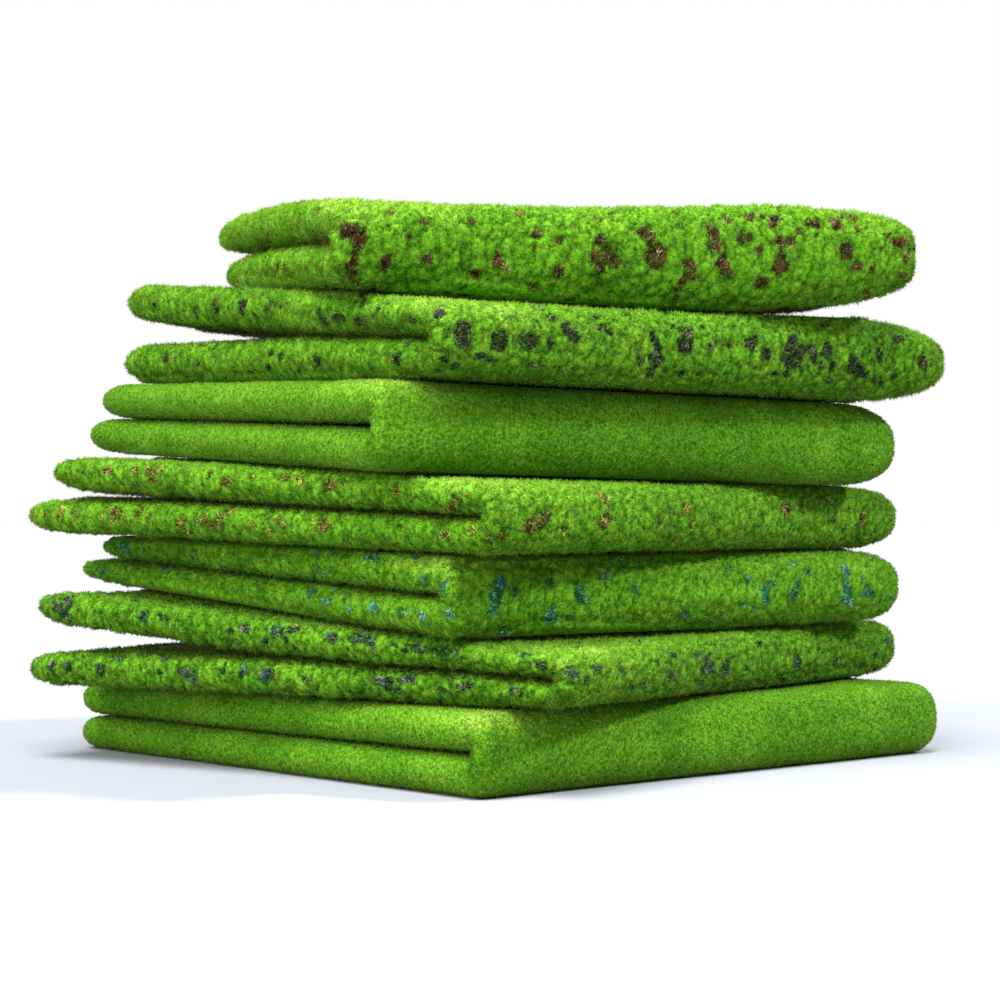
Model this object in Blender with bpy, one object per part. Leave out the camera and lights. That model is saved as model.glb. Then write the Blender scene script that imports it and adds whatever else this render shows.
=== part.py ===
"""A stack of seven square mats of artificial moss, each folded in four.

A mat is one backing cloth with a moss pile bonded to one side of it. It is folded twice with the
moss outside: the first fold lies along the mat's left side, and the second one along its front.
Every mat has the same two solids, the folded moss pile and the folded backing inside it.

Lengths are in metres. The stack stands on Z = 0, and -Y is its front.
"""

import math

import bpy

# The cloth and the pile
BACKING = 0.0020  # thickness of the backing cloth
PILE = 0.0130  # height of the moss above the backing, pressed by the mats above
BOND_GAP = 0.0003  # between the backing and the foot of the moss
SLIT = 0.0010  # between the two backs that meet inside a folded pair of layers
MOSS_GAP = 0.0010  # between the two moss faces that meet inside the second fold
MAT_GAP = 0.0015  # between one mat and the next

# The folds
FIRST_SQUASH = 0.90  # depth of the first fold over its height
SECOND_SQUASH = 0.60  # the second fold is pressed flatter, so its front stands nearly upright
BOXINESS = 0.80  # under 1 makes the second fold fuller than an ellipse
SLACK_BLEND = 0.0020  # how softly the second fold starts to gape where the mat has room to spare
BEND_STEPS = 4  # facets round each fold
EDGE_PILE = 0.12  # share of the pile's height that is left at a cut edge
EDGE_STEP = 0.25  # where the falling edge is divided, as a share of its reach

# The cut corners, seen from above
CORNER_REACH = 0.060  # how far along both cut edges a corner is rounded
CORNER_PULL = 0.28  # share of that reach by which the corner itself is drawn in, each way

# Where the heights in LEVELS are given: this far from the middle of the stack
LEVEL_REACH = 0.35

# Height of the surface under each mat, from the floor up, at the left, near, right and far corner
# of the stack, and last the top of the uppermost mat
LEVELS = [
    (0.000, 0.000, 0.000, 0.000),
    (0.058, 0.063, 0.060, 0.062),
    (0.141, 0.108, 0.109, 0.124),
    (0.183, 0.171, 0.170, 0.184),
    (0.251, 0.227, 0.222, 0.246),
    (0.312, 0.296, 0.290, 0.308),
    (0.404, 0.353, 0.363, 0.374),
    (0.475, 0.423, 0.463, 0.446),
]

# Each mat, from the floor up. "middle" is the plan position of the folded square, "yaw" the turn of
# its front face in degrees and "side" its length. "short_upper" and "short_lower" are how much the
# upper or lower half stops short at the far end, "round_end" is how far in from the right-hand cut
# edge the pile starts to fall at the front of the mat, "round_tail" the same at the back and along
# the far cut edge, and "fluff" how much higher than PILE the moss stands.
MATS = [
    dict(name="mat_7", middle=(0.006, -0.008), yaw=42.1, side=0.522,
         short_upper=0.000, short_lower=0.000, round_end=0.031, round_tail=0.025, fluff=1.00),
    dict(name="mat_6", middle=(-0.019, -0.013), yaw=55.2, side=0.535,
         short_upper=0.010, short_lower=0.000, round_end=0.047, round_tail=0.033, fluff=1.00),
    dict(name="mat_5", middle=(-0.011, 0.004), yaw=41.0, side=0.504,
         short_upper=0.033, short_lower=0.000, round_end=0.049, round_tail=0.035, fluff=1.00),
    dict(name="mat_4", middle=(-0.027, -0.010), yaw=48.3, side=0.531,
         short_upper=0.033, short_lower=0.000, round_end=0.053, round_tail=0.039, fluff=1.00),
    dict(name="mat_3", middle=(-0.017, 0.002), yaw=33.8, side=0.505,
         short_upper=0.025, short_lower=0.000, round_end=0.058, round_tail=0.043, fluff=1.05),
    dict(name="mat_2", middle=(0.020, -0.002), yaw=34.8, side=0.513,
         short_upper=0.006, short_lower=0.000, round_end=0.100, round_tail=0.043, fluff=1.20),
    dict(name="mat_1", middle=(0.033, 0.013), yaw=17.6, side=0.480,
         short_upper=0.000, short_lower=0.035, round_end=0.150, round_tail=0.115, fluff=1.25),
]

MOSS_GREEN = (0.100, 0.330, 0.020, 1.0)
BACKING_GREEN = (0.030, 0.075, 0.025, 1.0)
SHARP_ANGLE = math.radians(50)  # edges that turn by more than this are shaded sharp


def clear_scene():
    for obj in list(bpy.data.objects):
        bpy.data.objects.remove(obj, do_unlink=True)


def make_material(name, colour, roughness):
    material = bpy.data.materials.new(name)
    material.use_nodes = True
    shader = material.node_tree.nodes["Principled BSDF"]
    shader.inputs["Base Color"].default_value = colour
    shader.inputs["Roughness"].default_value = roughness
    shader.inputs["Metallic"].default_value = 0.0
    return material


def level_height(level, x, y):
    """Height of a surface between two mats: a plane through its corners, with a slight saddle."""
    left, near, right, far = LEVELS[level]
    across = x / LEVEL_REACH
    back = y / LEVEL_REACH
    mean = (left + near + right + far) / 4
    saddle = (left + right - near - far) / 4
    return mean + across * (right - left) / 2 + back * (far - near) / 2 + saddle * (across**2 - back**2)


def end_taper(distance, reach):
    """Share of the pile's height at a distance from a cut edge: it rises as a quarter ellipse."""
    inward = 1 - min(distance / reach, 1.0)
    return max(EDGE_PILE, math.sqrt(1 - inward**2))


def end_reach(mat, v):
    """How far in from the right-hand cut edge the pile starts to fall: less towards the back."""
    to_back = min(max(2 * v / mat["side"], 0.0), 1.0)
    return mat["round_end"] + to_back * (mat["round_tail"] - mat["round_end"])


def corner_pull(to_side_cut, to_far_cut):
    """How far a place near a cut corner is drawn in along both edges, so that it is rounded."""
    along = max(1 - to_side_cut / CORNER_REACH, 0.0)
    back = max(1 - to_far_cut / CORNER_REACH, 0.0)
    return CORNER_PULL * CORNER_REACH * along * back


def first_fold_columns(mat, pair_half):
    """Places across the first fold, from cut edge to cut edge: (u, cosine, sine) of each.

    u runs from the folded edge at 0 to the cut edges. The cosine is 1 on the outer layer, -1 on
    the inner one, and turns from one to the other round the fold.
    """
    side, reach = mat["side"], mat["round_end"]
    fold_centre = FIRST_SQUASH * pair_half
    straight = [side, side - EDGE_STEP * reach, side - reach, side / 2]
    angles = [math.pi * i / BEND_STEPS for i in range(BEND_STEPS + 1)]
    columns = [(u, 1.0, 0.0) for u in straight]
    columns += [(fold_centre, math.cos(a), math.sin(a)) for a in angles]
    columns += [(u, -1.0, 0.0) for u in reversed(straight)]
    return columns


def second_fold_rows(mat, fold_centre):
    """Places across the second fold: (v, cosine, sine, distance to the far cut edge) of each."""
    side, reach = mat["side"], mat["round_tail"]
    halves = []
    for end, sign in ((side - mat["short_upper"], 1.0), (side - mat["short_lower"], -1.0)):
        places = (end, end - EDGE_STEP * reach, end - reach, end / 2)
        halves.append([(v, sign, 0.0, end - v) for v in places])
    angles = [math.pi * i / BEND_STEPS for i in range(BEND_STEPS + 1)]
    bend = [(fold_centre, math.cos(a), math.sin(a), side) for a in angles]
    upper, lower = halves
    return upper + bend + lower[::-1]


def power(value, exponent):
    return math.copysign(abs(value) ** exponent, value)


def folded_point(mat, index, column, row, depth):
    """The place of one point of the sheet in the mat's own axes, with its height above the floor.

    depth is measured outwards from the slit between the backs: up to BACKING it is in the cloth,
    and above that in the pile, which is lower near the cut edges.
    """
    u, cos_first, sin_first = column
    v, cos_second, sin_second, to_edge = row
    pile = PILE * mat["fluff"]
    pair_half = SLIT / 2 + BACKING + pile

    # Pile that falls towards the cut edges, and rounded cut corners
    end_share = end_taper(mat["side"] - u, end_reach(mat, v))
    tail_share = end_taper(to_edge, mat["round_tail"])
    pull = corner_pull(mat["side"] - u, to_edge)
    u -= pull
    v -= pull

    # First fold: the pair of layers, as a thickness above or below its own middle
    in_cloth, in_pile = min(depth, BACKING), max(depth - BACKING, 0.0)
    radius = SLIT / 2 + in_cloth + in_pile * end_share * tail_share
    u_folded = u - FIRST_SQUASH * radius * sin_first
    above_pair = radius * cos_first

    # Second fold: the pair bends round the mat's middle plane
    half = SLIT / 2 + BACKING + pile * end_share
    x, y = to_stack(mat, u_folded, v)
    room = mat_room(index, x, y)
    slack = room - 4 * pair_half
    opening = MOSS_GAP + (slack + math.hypot(slack, SLACK_BLEND)) / 2
    turn_radius = opening / 2 + half + above_pair
    v_folded = v - SECOND_SQUASH * turn_radius * power(sin_second, BOXINESS)
    above_middle = turn_radius * power(cos_second, BOXINESS)

    # The mat is pressed into the room between the surfaces under and over it
    x, y = to_stack(mat, u_folded, v_folded)
    low, high = mat_limits(index, x, y)
    pressed = (high - low) / (opening + 4 * pair_half)
    height = (low + high) / 2 + above_middle * pressed
    return u_folded - mat["side"] / 2, v_folded - mat["side"] / 2, height


def to_stack(mat, u, v):
    """A plan position on the mat, measured from its near corner, in the stack's axes."""
    yaw = math.radians(mat["yaw"])
    along, back = u - mat["side"] / 2, v - mat["side"] / 2
    x = mat["middle"][0] + along * math.cos(yaw) - back * math.sin(yaw)
    y = mat["middle"][1] + along * math.sin(yaw) + back * math.cos(yaw)
    return x, y


def mat_limits(index, x, y):
    """The lowest and highest that mat number index may reach at a place, clear of its neighbours."""
    under = MAT_GAP / 2 if index > 0 else 0.0
    over = MAT_GAP / 2 if index < len(MATS) - 1 else 0.0
    return level_height(index, x, y) + under, level_height(index + 1, x, y) - over


def mat_room(index, x, y):
    low, high = mat_limits(index, x, y)
    return high - low


def folded_sheet(mat, index, inner, outer):
    """Corners and faces of a closed folded sheet that lies between two depths."""
    pair_half = SLIT / 2 + BACKING + PILE * mat["fluff"]
    fold_centre = SECOND_SQUASH * (MOSS_GAP / 2 + 2 * pair_half)
    columns = first_fold_columns(mat, pair_half)
    rows = second_fold_rows(mat, fold_centre)
    wide, deep = len(columns), len(rows)
    points = [
        folded_point(mat, index, column, row, depth)
        for depth in (outer, inner)
        for row in rows
        for column in columns
    ]
    back = wide * deep
    faces = []
    for j in range(deep - 1):
        for i in range(wide - 1):
            a, b = j * wide + i, (j + 1) * wide + i
            # Every layer is cut along the same diagonal in plan, so layers and bonded faces stay clear
            if (i < wide // 2) == (j < deep // 2):
                halves = ((a, a + 1, b + 1), (a, b + 1, b))
            else:
                halves = ((a, a + 1, b), (a + 1, b + 1, b))
            for half in halves:
                faces.append(half)
                faces.append(tuple(back + corner for corner in reversed(half)))
    rim = list(range(wide))
    rim += [j * wide + wide - 1 for j in range(1, deep)]
    rim += [(deep - 1) * wide + i for i in range(wide - 2, -1, -1)]
    rim += [j * wide for j in range(deep - 2, 0, -1)]
    for here, there in zip(rim, rim[1:] + rim[:1]):
        faces.append((here, back + here, back + there, there))
    return points, faces


def add_sheet(mat, index, suffix, depths, material, collection, parent):
    """One folded sheet as an object, placed by its mat's middle and yaw."""
    points, faces = folded_sheet(mat, index, *depths)
    mesh = bpy.data.meshes.new(f"{mat['name']}_{suffix}")
    mesh.from_pydata(points, [], faces)
    mesh.shade_smooth()
    mesh.set_sharp_from_angle(angle=SHARP_ANGLE)
    mesh.materials.append(material)
    obj = bpy.data.objects.new(mesh.name, mesh)
    obj.location = (mat["middle"][0], mat["middle"][1], 0)
    obj.rotation_euler = (0, 0, math.radians(mat["yaw"]))
    obj.parent = parent
    collection.objects.link(obj)
    return obj


def centre_stack(stack, parts):
    """Moves the stack so that the middle of its plan box is at the origin."""
    bpy.context.view_layer.update()
    corners = [part.matrix_world @ vertex.co for part in parts for vertex in part.data.vertices]
    for axis in (0, 1):
        values = [corner[axis] for corner in corners]
        stack.location[axis] = -(min(values) + max(values)) / 2


def build():
    clear_scene()
    collection = bpy.data.collections.new("moss_mat_stack")
    bpy.context.scene.collection.children.link(collection)
    stack = bpy.data.objects.new("stack_origin", None)
    collection.objects.link(stack)
    moss = make_material("moss_pile", MOSS_GREEN, 0.9)
    cloth = make_material("backing_cloth", BACKING_GREEN, 0.95)
    parts = []
    for index, mat in enumerate(MATS):
        pile_top = BACKING + PILE * mat["fluff"]
        parts.append(add_sheet(mat, index, "moss", (BACKING + BOND_GAP, pile_top), moss, collection, stack))
        parts.append(add_sheet(mat, index, "backing", (0.0, BACKING), cloth, collection, stack))
    centre_stack(stack, parts)


build()
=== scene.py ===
import math

import bpy
import numpy as np
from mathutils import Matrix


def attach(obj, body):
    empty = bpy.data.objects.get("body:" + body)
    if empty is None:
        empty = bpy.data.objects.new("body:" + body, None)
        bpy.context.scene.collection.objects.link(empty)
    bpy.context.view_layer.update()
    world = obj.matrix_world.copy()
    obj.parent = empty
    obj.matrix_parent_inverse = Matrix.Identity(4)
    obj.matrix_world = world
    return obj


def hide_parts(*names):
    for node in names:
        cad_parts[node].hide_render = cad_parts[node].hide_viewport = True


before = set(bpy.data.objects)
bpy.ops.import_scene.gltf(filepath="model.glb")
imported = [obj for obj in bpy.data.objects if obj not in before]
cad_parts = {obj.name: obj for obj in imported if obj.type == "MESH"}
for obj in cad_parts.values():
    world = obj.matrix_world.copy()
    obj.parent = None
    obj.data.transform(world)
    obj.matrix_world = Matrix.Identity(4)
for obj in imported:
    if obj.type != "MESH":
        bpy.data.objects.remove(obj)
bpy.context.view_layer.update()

# The camera stands in front of the near corner, level, with a long lens
photo = dict(distance=2.124, height=0.2115, lens=90, sensor=36, pixels=1000)

# The folded sheet, in metres, as the CAD model has it: cloth, pile, gaps and the shape of the folds
fold = dict(
    backing=0.0020, pile=0.0130, bondGap=0.0003, slit=0.0010, mossGap=0.0010, matGap=0.0015,
    firstSquash=0.90, secondSquash=0.60, boxiness=0.80, slackBlend=0.0020,
    edgePile=0.12, cornerReach=0.060, cornerPull=0.28,
)

# Heights under each mat from the floor up, then the top: left, near, right and far, at this reach
levelReach = 0.35
levels = [
    (0.000, 0.000, 0.000, 0.000),
    (0.058, 0.063, 0.060, 0.062),
    (0.141, 0.108, 0.109, 0.124),
    (0.183, 0.171, 0.170, 0.184),
    (0.251, 0.227, 0.222, 0.246),
    (0.312, 0.296, 0.290, 0.308),
    (0.404, 0.353, 0.363, 0.374),
    (0.475, 0.423, 0.463, 0.446),
]

# The mats from the floor up. Lengths in metres, yaw in degrees
mats = [
    dict(name="mat_7", middle=(0.006, -0.008), yaw=42.1, side=0.522, shortUpper=0.000, shortLower=0.000,
         roundEnd=0.031, roundTail=0.025, fluff=1.00, slot="plain_moss"),
    dict(name="mat_6", middle=(-0.019, -0.013), yaw=55.2, side=0.535, shortUpper=0.010, shortLower=0.000,
         roundEnd=0.047, roundTail=0.033, fluff=1.00, slot="mixed_fleck_moss"),
    dict(name="mat_5", middle=(-0.011, 0.004), yaw=41.0, side=0.504, shortUpper=0.033, shortLower=0.000,
         roundEnd=0.049, roundTail=0.035, fluff=1.00, slot="teal_fleck_moss"),
    dict(name="mat_4", middle=(-0.027, -0.010), yaw=48.3, side=0.531, shortUpper=0.033, shortLower=0.000,
         roundEnd=0.053, roundTail=0.039, fluff=1.00, slot="yellow_fleck_moss"),
    dict(name="mat_3", middle=(-0.017, 0.002), yaw=33.8, side=0.505, shortUpper=0.025, shortLower=0.000,
         roundEnd=0.058, roundTail=0.043, fluff=1.05, slot="plain_moss"),
    dict(name="mat_2", middle=(0.020, -0.002), yaw=34.8, side=0.513, shortUpper=0.006, shortLower=0.000,
         roundEnd=0.100, roundTail=0.043, fluff=1.20, slot="violet_fleck_moss"),
    dict(name="mat_1", middle=(0.033, 0.013), yaw=17.6, side=0.480, shortUpper=0.000, shortLower=0.035,
         roundEnd=0.150, roundTail=0.115, fluff=1.25, slot="red_fleck_moss"),
]

# What the moss of each slot looks like. relief is the depth of the clefts between clumps, clump
# their spacing, tuft the spacing of the small tufts that cover them and fibre the length of the free
# fibres, all in metres. lump is the relief of larger swellings. tilt is how far the fibres lean off
# the surface's normal in the middle of a tuft and at its rim, in degrees. grid is the step of the
# body's mesh, and bright is painted light that lifts the tone of all the slot's moss. share is how
# much of the moss lies in a coloured patch, and specks how much lies in a small one
looks = {
    "plain_moss": dict(
        clump=0.0060, relief=0.0003, lump=0.0, tuft=0.0027, fibre=0.0018, tilt=(22, 62), grid=0.0040,
        bright=0.00, seed=11, share=0.0, specks=0.0),
    "red_fleck_moss": dict(
        clump=0.0105, relief=0.0038, lump=0.0034, tuft=0.0038, fibre=0.0029, tilt=(18, 62), grid=0.0027,
        bright=0.10, seed=23, share=0.16, specks=0.05),
    "violet_fleck_moss": dict(
        clump=0.0100, relief=0.0030, lump=0.0024, tuft=0.0038, fibre=0.0030, tilt=(18, 62), grid=0.0027,
        bright=0.04, seed=35, share=0.16, specks=0.05),
    "yellow_fleck_moss": dict(
        clump=0.0096, relief=0.0028, lump=0.0022, tuft=0.0034, fibre=0.0025, tilt=(18, 62), grid=0.0026,
        bright=0.06, seed=47, share=0.12, specks=0.03),
    "teal_fleck_moss": dict(
        clump=0.0100, relief=0.0026, lump=0.0022, tuft=0.0034, fibre=0.0026, tilt=(18, 62), grid=0.0026,
        bright=0.14, seed=59, share=0.14, specks=0.03),
    "mixed_fleck_moss": dict(
        clump=0.0098, relief=0.0034, lump=0.0022, tuft=0.0036, fibre=0.0027, tilt=(18, 62), grid=0.0026,
        bright=0.02, seed=71, share=0.18, specks=0.06),
}

# The coloured patches that the photograph shows, for each mat: across, down and half width, in pixels
# of its 1000 by 1000 frame
patches = {
    "mat_1": [
        (357, 229, 13), (343, 226, 9), (411, 233, 6), (426, 216, 6), (470, 219, 5), (350, 268, 8),
        (351, 279, 7), (390, 266, 6), (426, 263, 5), (500, 263, 8), (478, 277, 7), (295, 271, 5),
        (538, 235, 6), (538, 248, 5), (599, 213, 7), (573, 220, 5), (604, 239, 7), (613, 257, 11),
        (600, 254, 7), (563, 272, 6), (641, 230, 7), (652, 229, 7), (655, 257, 8), (663, 250, 6),
        (690, 271, 9), (711, 230, 8), (716, 244, 8), (722, 263, 10), (742, 235, 8), (750, 212, 7),
        (729, 215, 6), (775, 219, 8), (784, 241, 6), (782, 268, 7), (813, 220, 6), (838, 220, 9),
        (854, 216, 6), (847, 253, 6), (899, 243, 7), (907, 263, 6), (763, 289, 7), (860, 271, 6),
        (228, 238, 5), (262, 232, 4), (274, 262, 5),
    ],
    "mat_2": [
        (139, 307, 7), (212, 307, 7), (240, 307, 6), (284, 305, 5), (334, 321, 9), (354, 324, 8),
        (376, 308, 5), (312, 359, 8), (267, 352, 5), (395, 360, 8), (161, 361, 6), (470, 336, 12),
        (489, 361, 8), (501, 336, 9), (445, 364, 6), (436, 314, 8), (458, 368, 6), (408, 324, 6),
        (534, 336, 10), (570, 331, 11), (551, 313, 6), (604, 313, 6), (604, 324, 6), (627, 312, 5),
        (657, 338, 7), (657, 364, 10), (643, 364, 6), (683, 327, 8), (688, 344, 7), (711, 347, 7),
        (735, 322, 4), (758, 344, 9), (767, 353, 7), (794, 338, 8), (796, 361, 15), (815, 350, 8),
        (829, 324, 6), (829, 355, 8), (862, 372, 9), (854, 367, 7), (879, 336, 6), (896, 338, 6),
        (882, 355, 6), (924, 358, 9), (937, 343, 8), (942, 352, 7),
    ],
    "mat_4": [
        (79, 467, 6), (106, 469, 7), (132, 468, 7), (152, 469, 12), (180, 468, 8), (205, 476, 7),
        (221, 481, 7), (251, 472, 5), (284, 476, 8), (298, 476, 6), (327, 486, 9), (340, 478, 5),
        (392, 493, 7), (413, 495, 6), (42, 512, 4), (58, 514, 7), (72, 514, 4), (100, 517, 6),
        (115, 510, 10), (135, 513, 9), (143, 520, 7), (164, 510, 9), (177, 523, 8), (200, 520, 9),
        (214, 520, 13), (230, 511, 6), (250, 525, 6), (284, 527, 5), (320, 521, 9), (399, 521, 9),
        (451, 497, 9), (447, 510, 6), (485, 543, 8), (506, 538, 7), (532, 527, 9), (548, 519, 9),
        (565, 530, 9), (605, 495, 7), (607, 524, 8), (666, 519, 8), (689, 513, 7), (694, 527, 6),
        (790, 506, 7), (803, 508, 5), (836, 517, 8), (866, 519, 8),
    ],
    "mat_5": [
        (124, 540, 9), (165, 568, 8), (100, 569, 6), (313, 548, 10), (344, 548, 6), (374, 549, 6),
        (258, 575, 4), (309, 593, 8), (322, 603, 8), (369, 606, 8), (399, 614, 8), (421, 614, 9),
        (421, 579, 9), (439, 589, 10), (497, 603, 11), (503, 583, 6), (516, 591, 7), (554, 581, 5),
        (579, 592, 9), (602, 581, 7), (553, 619, 9), (637, 589, 6), (685, 616, 8), (720, 623, 6),
        (771, 592, 9), (798, 594, 8), (846, 570, 6), (849, 597, 10), (871, 597, 10), (448, 617, 7),
    ],
    "mat_6": [
        (56, 604, 14), (64, 620, 9), (141, 612, 7), (158, 611, 5), (239, 627, 9), (226, 630, 8),
        (274, 628, 9), (288, 626, 7), (330, 632, 6), (365, 637, 14), (352, 632, 9), (413, 643, 10),
        (441, 652, 10), (427, 648, 6), (454, 652, 6), (48, 667, 8), (62, 668, 7), (96, 670, 8),
        (154, 669, 6), (178, 670, 6), (187, 678, 7), (220, 667, 7), (239, 676, 8), (264, 674, 9),
        (301, 676, 6), (354, 668, 5), (380, 678, 10), (404, 676, 7), (441, 690, 9), (465, 686, 7),
        (513, 693, 10), (523, 652, 8), (537, 665, 8), (573, 674, 10), (601, 671, 9), (623, 669, 7),
        (675, 652, 9), (675, 676, 8), (645, 684, 7), (711, 665, 9), (727, 669, 10), (706, 674, 6),
        (799, 665, 9), (783, 679, 7), (838, 665, 7), (889, 640, 7), (864, 670, 6), (759, 683, 6),
        (700, 655, 6),
    ],
}


# Height of the surface between two mats: a plane through its four heights, with a slight saddle
def levelHeight(level, x, y):
    left, near, right, far = levels[level]
    across, back = x / levelReach, y / levelReach
    mean, saddle = (left + near + right + far) / 4, (left + right - near - far) / 4
    return mean + across * (right - left) / 2 + back * (far - near) / 2 + saddle * (across**2 - back**2)


def matLimits(index, x, y):
    under = fold["matGap"] / 2 if index > 0 else 0.0
    over = fold["matGap"] / 2 if index < len(mats) - 1 else 0.0
    return levelHeight(index, x, y) + under, levelHeight(index + 1, x, y) - over


def toStack(mat, u, v):
    yaw = math.radians(mat["yaw"])
    along, back = u - mat["side"] / 2, v - mat["side"] / 2
    x = mat["middle"][0] + along * math.cos(yaw) - back * math.sin(yaw)
    return x, mat["middle"][1] + along * math.sin(yaw) + back * math.cos(yaw)


def toMat(mat, x, y):
    yaw = math.radians(mat["yaw"])
    x, y = x - mat["middle"][0], y - mat["middle"][1]
    u = x * math.cos(yaw) + y * math.sin(yaw) + mat["side"] / 2
    return u, -x * math.sin(yaw) + y * math.cos(yaw) + mat["side"] / 2


# Share of the pile's height near a cut edge: a quarter ellipse that rises over its reach
def endTaper(distance, reach):
    inward = 1 - np.clip(distance / reach, 0, 1)
    return np.maximum(fold["edgePile"], np.sqrt(1 - inward**2))


# Sizes of a mat's sheet. a runs across the first fold and b across the second, each from cut edge
# to cut edge along the outside of the pile: straight, round the fold, and straight again
def sheetSizes(mat):
    pairHalf = fold["slit"] / 2 + fold["backing"] + fold["pile"] * mat["fluff"]
    firstCentre = fold["firstSquash"] * pairHalf
    secondCentre = fold["secondSquash"] * (fold["mossGap"] / 2 + 2 * pairHalf)
    size = dict(pairHalf=pairHalf, firstCentre=firstCentre, secondCentre=secondCentre)
    size["firstArc"] = 0.95 * math.pi * pairHalf
    size["secondArc"] = 2.7 * 2 * pairHalf
    size["straight"] = mat["side"] - firstCentre
    size["upper"] = mat["side"] - mat["shortUpper"] - secondCentre
    size["lower"] = mat["side"] - mat["shortLower"] - secondCentre
    size["wide"] = 2 * size["straight"] + size["firstArc"]
    size["long"] = size["upper"] + size["secondArc"] + size["lower"]
    return size


def signedPower(value, exponent):
    return np.sign(value) * np.abs(value) ** exponent


# Where a point of the sheet lies once it is folded. Its depth is measured outwards from the slit
# between the backs. The first fold turns it half round the slit, on an ellipse of that depth, and
# the second turns the pair half round the mat's middle plane, on a boxier ellipse. The mat is then
# pressed into the room between the surfaces under and over it
def foldPoint(index, a, b, depth):
    mat = mats[index]
    size = sheetSizes(mat)
    turnFirst = np.pi * np.clip((a - size["straight"]) / size["firstArc"], 0, 1)
    turnSecond = np.pi * np.clip((b - size["upper"]) / size["secondArc"], 0, 1)
    u = size["firstCentre"] + np.maximum(size["straight"] - a, 0)
    u = u + np.maximum(a - size["straight"] - size["firstArc"], 0)
    v = size["secondCentre"] + np.maximum(size["upper"] - b, 0)
    v = v + np.maximum(b - size["upper"] - size["secondArc"], 0)
    toFar = np.minimum(b, size["long"] - b)
    toSide = mat["side"] - u

    toBack = np.clip(2 * v / mat["side"], 0, 1)
    endShare = endTaper(toSide, mat["roundEnd"] + toBack * (mat["roundTail"] - mat["roundEnd"]))
    tailShare = endTaper(toFar, mat["roundTail"])
    reach = fold["cornerReach"]
    pull = fold["cornerPull"] * reach * np.maximum(1 - toSide / reach, 0) * np.maximum(1 - toFar / reach, 0)
    u, v = u - pull, v - pull

    inCloth = np.minimum(depth, fold["backing"])
    radius = fold["slit"] / 2 + inCloth + np.maximum(depth - fold["backing"], 0) * endShare * tailShare
    u = u - fold["firstSquash"] * radius * np.sin(turnFirst)
    abovePair = radius * np.cos(turnFirst)

    half = fold["slit"] / 2 + fold["backing"] + fold["pile"] * mat["fluff"] * endShare
    low, high = matLimits(index, *toStack(mat, u, v))
    slack = high - low - 4 * size["pairHalf"]
    opening = fold["mossGap"] + (slack + np.hypot(slack, fold["slackBlend"])) / 2
    turnRadius = opening / 2 + half + abovePair
    v = v - fold["secondSquash"] * turnRadius * signedPower(np.sin(turnSecond), fold["boxiness"])
    aboveMiddle = turnRadius * signedPower(np.cos(turnSecond), fold["boxiness"])

    x, y = toStack(mat, u, v)
    low, high = matLimits(index, x, y)
    z = (low + high) / 2 + aboveMiddle * (high - low) / (opening + 4 * size["pairHalf"])
    return np.stack([x, y, z], -1)


# The CAD model is centred on the middle of its plan box, so the folded mats are too
def stackShift():
    lows, highs = [], []
    for index, mat in enumerate(mats):
        size = sheetSizes(mat)
        a, b = np.meshgrid(np.linspace(0, size["wide"], 241), np.linspace(0, size["long"], 241))
        outside = foldPoint(index, a, b, np.full_like(a, fold["backing"] + fold["pile"] * mat["fluff"]))
        lows.append(outside.min((0, 1)))
        highs.append(outside.max((0, 1)))
    middle = (np.min(lows, 0) + np.max(highs, 0)) / 2
    return np.array([-middle[0], -middle[1], 0.0])


shift = stackShift()


# Random values on a square lattice, blended smoothly between its corners, from 0 to 1
def smoothNoise(x, y, cell, seed):
    table = np.random.default_rng(seed).random((256, 256))
    x, y = x / cell, y / cell
    column, row = np.floor(x).astype(int), np.floor(y).astype(int)
    x, y = x - column, y - row
    x, y = x * x * (3 - 2 * x), y * y * (3 - 2 * y)
    column, row, columnToo, rowToo = column & 255, row & 255, (column + 1) & 255, (row + 1) & 255
    low = table[column, row] * (1 - x) + table[columnToo, row] * x
    high = table[column, rowToo] * (1 - x) + table[columnToo, rowToo] * x
    return low * (1 - y) + high * y


# Cells round jittered lattice points: the distances to the nearest and the second nearest point, in
# cells, a random number that belongs to the nearest, and the way from it to the place
def cellNoise(x, y, cell, seed):
    table = np.random.default_rng(seed).random((256, 256, 3))
    x, y = x / cell, y / cell
    column, row = np.floor(x).astype(int), np.floor(y).astype(int)
    first, second = np.full(x.shape, 9.0), np.full(x.shape, 9.0)
    chosen, wayX, wayY = np.zeros(x.shape), np.zeros(x.shape), np.zeros(x.shape)
    for i in (-1, 0, 1):
        for j in (-1, 0, 1):
            point = table[(column + i) & 255, (row + j) & 255]
            offX, offY = x - column - i - point[..., 0], y - row - j - point[..., 1]
            away = np.sqrt(offX * offX + offY * offY)
            nearer = away < first
            second = np.where(nearer, first, np.minimum(second, away))
            chosen = np.where(nearer, point[..., 2], chosen)
            wayX, wayY = np.where(nearer, offX, wayX), np.where(nearer, offY, wayY)
            first = np.where(nearer, away, first)
    return first, second, chosen, np.stack([wayX, wayY], -1)


def smoothStep(low, high, value):
    share = np.clip((value - low) / (high - low), 0, 1)
    return share * share * (3 - 2 * share)


# The pile opens round a fold, so clumps are drawn out there: the pattern runs more slowly by this
opened = dict(first=0.38, second=0.85)


def patternPlace(mat, a, b):
    size = sheetSizes(mat)
    a = a - (1 - opened["first"]) * np.clip(a - size["straight"], 0, size["firstArc"])
    return a, b - (1 - opened["second"]) * np.clip(b - size["upper"], 0, size["secondArc"])


def placeOn(index, a, b, height):
    return foldPoint(index, a, b, fold["backing"] + fold["bondGap"] + height) + shift


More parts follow.
